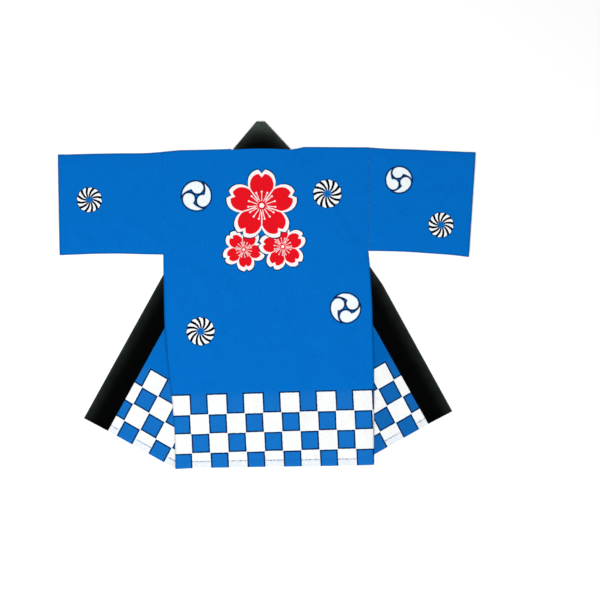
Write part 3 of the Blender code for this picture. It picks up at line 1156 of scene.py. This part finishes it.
class Field:
    """A number that varies over the cloth, held as an output of a finish's nodes."""

    def __init__(self, tree, socket):
        self.tree = tree
        self.socket = socket

    def math(self, operation, *others, clamp=False):
        node = self.tree.nodes.new("ShaderNodeMath")
        node.operation = operation
        node.use_clamp = clamp
        for slot, value in zip(node.inputs, (self, *others)):
            if isinstance(value, Field):
                self.tree.links.new(value.socket, slot)
            else:
                slot.default_value = value
        return Field(self.tree, node.outputs[0])

    def __add__(self, other):
        return self.math("ADD", other)

    def __sub__(self, other):
        return self.math("SUBTRACT", other)

    def __mul__(self, other):
        return self.math("MULTIPLY", other)

    def __truediv__(self, other):
        return self.math("DIVIDE", other)

    def __neg__(self):
        return self * -1.0

    def __abs__(self):
        return self.math("ABSOLUTE")

    def low(self, other):
        return self.math("MINIMUM", other)

    def high(self, other):
        return self.math("MAXIMUM", other)

    def under(self, limit):
        return self.math("LESS_THAN", limit)

    def over(self, limit):
        return self.math("GREATER_THAN", limit)

    def fract(self):
        return self.math("FRACT")

    def phase(self):
        """How far this is from the nearest whole number, from -0.5 to 0.5."""
        return (self + 0.5).fract() - 0.5

    def odd(self):
        """1 where this whole number is odd."""
        return (self * 0.5).fract().over(0.25)

    def clamped(self):
        return self.math("ADD", 0.0, clamp=True)

    def cover(self, edge=PRINT_EDGE):
        """1 where this distance is below 0, with a soft edge."""
        return (-self / edge + 0.5).clamped()

    def hump(self, reach):
        """1 where this distance is 0, fading softly over the reach."""
        share = self / reach
        return (-share * share).math("EXPONENT")


def hypot(x, y):
    return (x * x + y * y).math("SQRT")


class Finish:
    """A material whose colour and relief are built up step by step."""

    def __init__(self, name, kind):
        self.material = bpy.data.materials.new(name)
        self.material.use_nodes = True
        self.tree = self.material.node_tree
        self.shader = self.tree.nodes["Principled BSDF"]
        self.shader.inputs["Roughness"].default_value = ROUGHNESS[kind]
        self.shader.inputs["Specular IOR Level"].default_value = SHEEN
        self.colour = None

    def new(self, kind, **settings):
        node = self.tree.nodes.new(kind)
        for name, value in settings.items():
            setattr(node, name, value)
        return node

    def parts(self, source):
        """The three fields that a vector socket holds."""
        node = self.new("ShaderNodeSeparateXYZ")
        self.tree.links.new(source, node.inputs[0])
        return [Field(self.tree, part) for part in node.outputs]

    def place(self, uv_map=None):
        """x and y, in millimetres, on a UV map or else in plan."""
        if uv_map:
            source = self.new("ShaderNodeUVMap", uv_map=uv_map).outputs["UV"]
        else:
            source = self.new("ShaderNodeTexCoord").outputs["Object"]
        return [part / METRES for part in self.parts(source)[:2]]

    def noted(self, name):
        """The distance that the cloth's points carry under this name."""
        node = self.new("ShaderNodeAttribute", attribute_name=name)
        return Field(self.tree, node.outputs["Fac"])

    def noise(self, x, y, size, stretch=1.0, detail=2.0):
        """Soft noise around 0, from -1 to 1, its spots this many millimetres wide."""
        joined = self.new("ShaderNodeCombineXYZ")
        for value, axis, scale in ((x, "X", size), (y, "Y", size * stretch)):
            self.tree.links.new((value / scale).socket, joined.inputs[axis])
        node = self.new("ShaderNodeTexNoise", noise_dimensions="2D")
        node.inputs["Scale"].default_value = 1.0
        node.inputs["Detail"].default_value = detail
        self.tree.links.new(joined.outputs[0], node.inputs["Vector"])
        return Field(self.tree, node.outputs[0]) * 2.0 - 1.0

    def uneven(self, x, y, kind):
        """Fine noise of a kind from the table of dye and yarn."""
        size, strength, stretch = (*kind, 1.0)[:3]
        return self.noise(x, y, size, stretch, detail=3.0) * strength

    def paint(self, colour, cover=None):
        """Lays a colour over what is there, where the cover is 1."""
        if cover is None:
            flat = self.new("ShaderNodeRGB")
            flat.outputs[0].default_value = (*colour, 1)
            self.colour = flat.outputs[0]
            return
        mix = self.new("ShaderNodeMix", data_type="RGBA")
        self.tree.links.new(cover.socket, mix.inputs[0])
        self.tree.links.new(self.colour, mix.inputs[6])
        mix.inputs[7].default_value = (*colour, 1)
        self.colour = mix.outputs[2]

    def shade(self, factor):
        """Makes the colour lighter or darker by a field around 1."""
        node = self.new("ShaderNodeVectorMath", operation="SCALE")
        self.tree.links.new(self.colour, node.inputs[0])
        self.tree.links.new(factor.socket, node.inputs["Scale"])
        self.colour = node.outputs[0]

    def done(self, relief):
        """The material, with its colour and this relief, in millimetres."""
        self.tree.links.new(self.colour, self.shader.inputs["Base Color"])
        bump = self.new("ShaderNodeBump")
        bump.inputs["Strength"].default_value = RELIEF_STRENGTH
        bump.inputs["Distance"].default_value = METRES
        self.tree.links.new(relief.socket, bump.inputs["Height"])
        self.tree.links.new(bump.outputs[0], self.shader.inputs["Normal"])
        return self.material


def weave(x, y, pitch):
    """The relief of a plain weave, in millimetres."""
    across = (x * (2 * math.pi / pitch)).math("SINE")
    down = (y * (2 * math.pi / pitch)).math("SINE")
    return across * down * (pitch * YARN_RELIEF)


def outlined(finish, distance, colour):
    """Prints a shape in its colour with a dark line round it."""
    finish.paint(NAVY, (distance - OUTLINE).cover())
    finish.paint(FRINGE_BLUE, (distance - FRINGE).cover())
    finish.paint(colour, (distance + FRINGE).cover())


def print_crest(finish, x, y, crest):
    """Commas that chase each other round a circle."""
    x, y = x - crest.x, y - crest.y
    radius = hypot(x, y)
    angle = y.math("ARCTAN2", x) - math.radians(crest.head_angle)
    apart = 2 * math.pi / COMMAS
    turn = (angle * (crest.tails / apart)).fract() * apart

    def outside(circle, heads):
        """How far each place lies outside a circle, this many heads round."""
        size, out = (crest.radius * share for share in circle)
        cosine = (turn - heads * apart).math("COSINE")
        squared = radius * radius + out**2 - radius * cosine * (2 * out)
        return squared.math("SQRT") - size

    tail = (-radius + crest.radius * COMMA_WAIST).high(-outside(COMMA_CURL, CURL_TURN))
    comma = outside(COMMA_HEAD, 0).low(outside(COMMA_HEAD, 1)).low(tail)
    outlined(finish, comma.high(radius - crest.radius), CREST_WHITE)


def print_wheel(finish, x, y, wheel):
    """A twisted chrysanthemum: blades that sweep round as they go out."""
    x, y = x - wheel.x, y - wheel.y
    radius = hypot(x, y)
    out = radius / wheel.radius
    angle = y.math("ARCTAN2", x) * (180 / math.pi) - wheel.blade_angle
    phase = ((angle - (out - BLADE_TURN) * wheel.sweep) * (BLADES / 360)).phase()
    pitch = radius * (2 * math.pi / BLADES)
    gap = radius * BLADE_GAP[0] + BLADE_GAP[1]
    sides = abs(phase) * pitch - (pitch - gap) * 0.5
    lean, shortfall = BLADE_TIP
    slant = abs(phase * 2.0 + (lean if wheel.sweep < 0 else -lean))
    tip = radius - wheel.radius + slant * (wheel.radius * shortfall)
    narrowing, root = BLADE_ROOT
    inner = -radius + (abs(phase) * narrowing + root) * wheel.radius
    finish.paint(NAVY, (tip - WHEEL_RIM).high(inner).cover())
    between = (sides - OUTLINE).high(tip).high(inner + INK_ROOT)
    finish.paint(INK, between.cover())
    finish.paint(WHEEL_WHITE, sides.high(tip).high(inner).cover())


def print_blossom(finish, x, y, blossom):
    """A blossom with notched petals, a white vein between them, and stamens."""
    x, y = x - blossom.x, y - blossom.y
    size = blossom.radius
    radius = hypot(x, y)
    angle = (y.math("ARCTAN2", x) - math.radians(blossom.petal_angle)) / (2 * math.pi)
    petal = abs((angle * PETALS).phase()) * 2.0  # 0 on a petal, 1 between two
    square, depth = PETAL_SIDE
    side = petal.math("POWER", square) * (size * depth)
    half_width, depth = PETAL_NOTCH
    notch = (-petal / half_width + 1.0).high(0.0) * (size * depth)
    edge = (radius - size + side + notch) * PETAL_SLOPE
    finish.paint(NAVY, (edge - BLOSSOM_BORDER - BLOSSOM_OUTLINE).cover())
    finish.paint(BLOSSOM_WHITE, (edge - BLOSSOM_BORDER).cover())
    finish.paint(RED, edge.cover())
    half_width, start = VEIN
    vein = (-petal + 1.0) * radius * (math.pi / PETALS) - size * half_width
    vein = vein.high(-radius + size * start).high(edge)
    half_width, start, end = STAMEN
    ray = abs((angle * STAMENS).phase()) * radius * (2 * math.pi / STAMENS)
    stamen = (ray - size * half_width).high(radius - size * end)
    stamen = stamen.high(-radius + size * start)
    anther_radius, out = ANTHER
    anther = hypot(ray, radius - size * out) - size * anther_radius
    white = vein.low(stamen).low(anther).low(radius - size * HEART)
    finish.paint(BLOSSOM_WHITE, white.cover())


def print_checks(finish, x, y, tone):
    """Ichimatsu checks below a line, each blue one outlined. Says where it is white."""
    across, down = x / CHECK[0], y / CHECK[1]
    column, row = across.math("FLOOR"), down.math("FLOOR")
    in_column, in_row = across.fract(), down.fract()
    to_side = in_column.low(-in_column + 1.0) * CHECK[0]
    to_bottom = (-in_row + 1.0) * CHECK[1]
    to_top = in_row * CHECK[1] + row.under(0.5) * FAR
    below = y.over(0.0)
    white = below * (-(column + row).odd() + 1.0)
    to_white = to_side.low(to_bottom).low(to_top)
    above = (-y).high(to_side * column.odd())
    beside = (to_white * below + above * (-below + 1.0)) * (-white + 1.0)
    beside = beside - white * (FRINGE + 1.0)
    finish.paint([part * tone for part in PALE_BLUE], (-y).cover(CHECKS_FADE))
    outlined(finish, beside, WHITE)
    return beside.cover()


def dye_and_yarn(finish, x, y):
    """How the dye and the yarn vary over blue cotton."""
    mottle = finish.uneven(x, y, MOTTLE) + finish.uneven(x, y, FINE_MOTTLE)
    return mottle, finish.uneven(x, y, SLUBS) + finish.uneven(y, x, SLUBS)


def dyed_cotton(name, tone=1.0, checks=False, crests=(), wheels=(), blossoms=()):
    """Blue cotton with its prints, woven, a little uneven in its colour."""
    finish = Finish(name, "cotton")
    x, y = finish.place("cut")
    finish.paint([part * tone for part in BLUE])
    size, reach = BLEED
    bleed_x = finish.noise(x, y, size) * reach
    bleed_y = finish.noise(-x, -y, size) * reach
    print_x, print_y = x + bleed_x, y + bleed_y
    from_stitches = finish.noted("from_stitches")
    if checks:
        across, down = finish.place("checks")
        white = print_checks(finish, across + bleed_x, down + bleed_y, tone)
        size, strength, level = PATCHES
        patchy = finish.noise(x, y, size) * strength + level
        finish.paint(SHOW_THROUGH, white * from_stitches.cover(1.0) * patchy)
        size, strength, level = TUGS
        tugged = finish.noise(across, down, size) * strength + level
        # along the stitches the hem shows through, with painted shade where their pull
        # draws the cloth in
        stitch_show_and_shade = from_stitches.hump(STITCH_REACH) * tugged
        finish.paint(STITCHED, (white * stitch_show_and_shade).clamped())
    for crest in crests:
        print_crest(finish, print_x, print_y, crest)
    for wheel in wheels:
        print_wheel(finish, print_x, print_y, wheel)
    for blossom in blossoms:
        print_blossom(finish, print_x, print_y, blossom)
    mottle, slubs = dye_and_yarn(finish, x, y)
    # painted shade along the folded and sewn edges, where the cloth turns away from the
    # light
    painted_edge_shade = finish.noted("from_folds").hump(FOLD_REACH) * -FOLD_SHADE
    finish.shade(mottle + slubs + painted_edge_shade + 1.0)
    reach, depth = DRAWN_IN
    drawn_in = from_stitches.hump(reach) * -depth
    size, reach, height = GATHERS
    gathers = from_stitches.hump(reach) * finish.noise(x, y, size) * height
    return finish.done(weave(x, y, YARN) + slubs * SLUB_RELIEF + drawn_in + gathers)


def reverse_cotton():
    """The inside of the printed cloth: the dye shows through paler."""
    finish = Finish("reverse_of_blue_cotton", "cotton")
    x, y = finish.place("cut")
    finish.paint(REVERSE_BLUE)
    mottle, slubs = dye_and_yarn(finish, x, y)
    finish.shade(mottle + slubs + 1.0)
    return finish.done(weave(x, y, YARN) + slubs * SLUB_RELIEF)


def black_cotton():
    """The collar's cloth, lighter with painted sheen towards its free edge and its folds,
    where the light catches it.
    """
    finish = Finish("black_cotton", "band")
    x, y = finish.place()
    finish.paint(BLACK)
    notes = finish.new("ShaderNodeAttribute", attribute_name="painted_sheen").outputs["Vector"]
    from_edge, from_fold, at_neck = finish.parts(notes)

    def sheen_amount(painted_sheen, from_sharp):
        """How much painted sheen lightens the cloth, towards its free edge and a sharp
        edge or fold.
        """
        (reach, strength), (sharp_reach, sharp_strength) = painted_sheen
        sharp = (-from_sharp / sharp_reach).math("EXPONENT") * sharp_strength
        return from_edge.hump(reach) * strength + sharp

    on_arm, on_neck = sheen_amount(ARM_SHEEN, from_edge), sheen_amount(NECK_SHEEN, from_fold)
    painted_sheen = on_neck * at_neck + on_arm * (-at_neck + 1.0)
    mottled = painted_sheen * (finish.uneven(x, y, BAND_MOTTLE) + 1.0)
    # painted sheen: a lighter, greenish black where the light catches the band's edges
    finish.paint(SHEEN_BLACK, mottled.clamped())
    size, strength, stretch = BAND_SLUBS
    slubs = finish.noise(x, y, size, stretch) * strength
    finish.shade(slubs + 1.0)
    return finish.done(weave(x, y, BAND_YARN) + slubs * BAND_SLUB_RELIEF)


def thread(name, colour):
    finish = Finish(name, "thread")
    x, y = finish.place()
    finish.paint(colour)
    size, strength = THREAD_SHADE
    finish.shade(finish.noise(x, y, size) * strength + 1.0)
    size, height = THREAD_RELIEF
    return finish.done(finish.noise(x + y, y - x, size) * height)


# Stage


def make_stage():
    """A pale floor, the camera straight above, and soft light."""
    shape = bmesh.new()
    bmesh.ops.create_grid(shape, x_segments=1, y_segments=1, size=FLOOR_SIZE)
    bmesh.ops.translate(shape, vec=(0, 0, -FLOOR_DROP), verts=shape.verts[:])
    finish = Finish("pale_floor", "floor")
    finish.shader.inputs["Base Color"].default_value = (*FLOOR_WHITE, 1)
    finished(shape, "floor", finish.material)

    scene = bpy.context.scene
    scene.view_settings.view_transform = "Standard"
    world = bpy.data.worlds.new("studio")
    world.use_nodes = True
    sky = world.node_tree.nodes["Background"]
    sky.inputs["Color"].default_value = (1, 1, 1, 1)
    sky.inputs["Strength"].default_value = AMBIENT
    scene.world = world

    lamp = bpy.data.lights.new("key", "AREA")
    lamp.shape = "DISK"
    lamp.size = KEY_SIZE
    lamp.energy = KEY_POWER
    key = bpy.data.objects.new("key", lamp)
    key.location = KEY_PLACE
    key.rotation_euler = (-Vector(KEY_PLACE)).to_track_quat("-Z", "Y").to_euler()
    scene.collection.objects.link(key)

    lens = bpy.data.cameras.new("camera")
    lens.lens = LENS
    lens.sensor_width = SENSOR
    camera = bpy.data.objects.new("camera", lens)
    camera.location = (*VIEW_CENTRE, VIEW_WIDTH * LENS / SENSOR)
    scene.collection.objects.link(camera)
    scene.camera = camera


def main():
    reverse = reverse_cotton()
    plain = dyed_cotton("blue_cotton")
    back_print = dyed_cotton(
        "printed_back",
        checks=True,
        crests=(CRESTS[0], CRESTS[2]),
        wheels=(WHEELS[1], WHEELS[3]),
        blossoms=BLOSSOMS,
    )
    sleeve_print = dyed_cotton(
        "printed_sleeve", crests=CRESTS[1:2], wheels=(WHEELS[0], WHEELS[2])
    )
    blue_thread = thread("blue_thread", BLUE_THREAD)
    black_thread = thread("black_thread", BLACK_THREAD)
    make_stage()

    back = make_back(back_print, reverse)
    back_hem = back_hem_stitches(blue_thread)
    declare_cut(back, "laid", ["front_left_cloth", "front_right_cloth"], back_hem)
    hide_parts("back")
    blue = [back, back_hem]
    for name in SIDES:
        tone = FRONT_TONES[name]
        front_print = dyed_cotton(f"printed_front_{name}", tone, checks=True)
        front = make_front(name, front_print, reverse)
        front_hem = front_hem_stitches(name, blue_thread)
        declare_cut(front, "folded", [], front_hem)
        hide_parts(f"front_{name}")
        sleeve = make_sleeve(name, sleeve_print, plain, reverse)
        cuff = cuff_stitches(name, blue_thread)
        declare_cut(sleeve, "laid", [], cuff)
        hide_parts(f"sleeve_{name}")
        blue += [front, front_hem, sleeve, cuff]

    collar, length = make_collar(black_cotton())
    black = [arm_stitches(name, black_thread) for name in SIDES]
    black.append(neck_stitches(black_thread))
    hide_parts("collar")
    black.append(collar)
    for pieces, slot in ((blue, "blue_cotton"), (black, "black_cotton")):
        for piece in pieces:
            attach(piece, "root")


main()
bpy.context.view_layer.update()
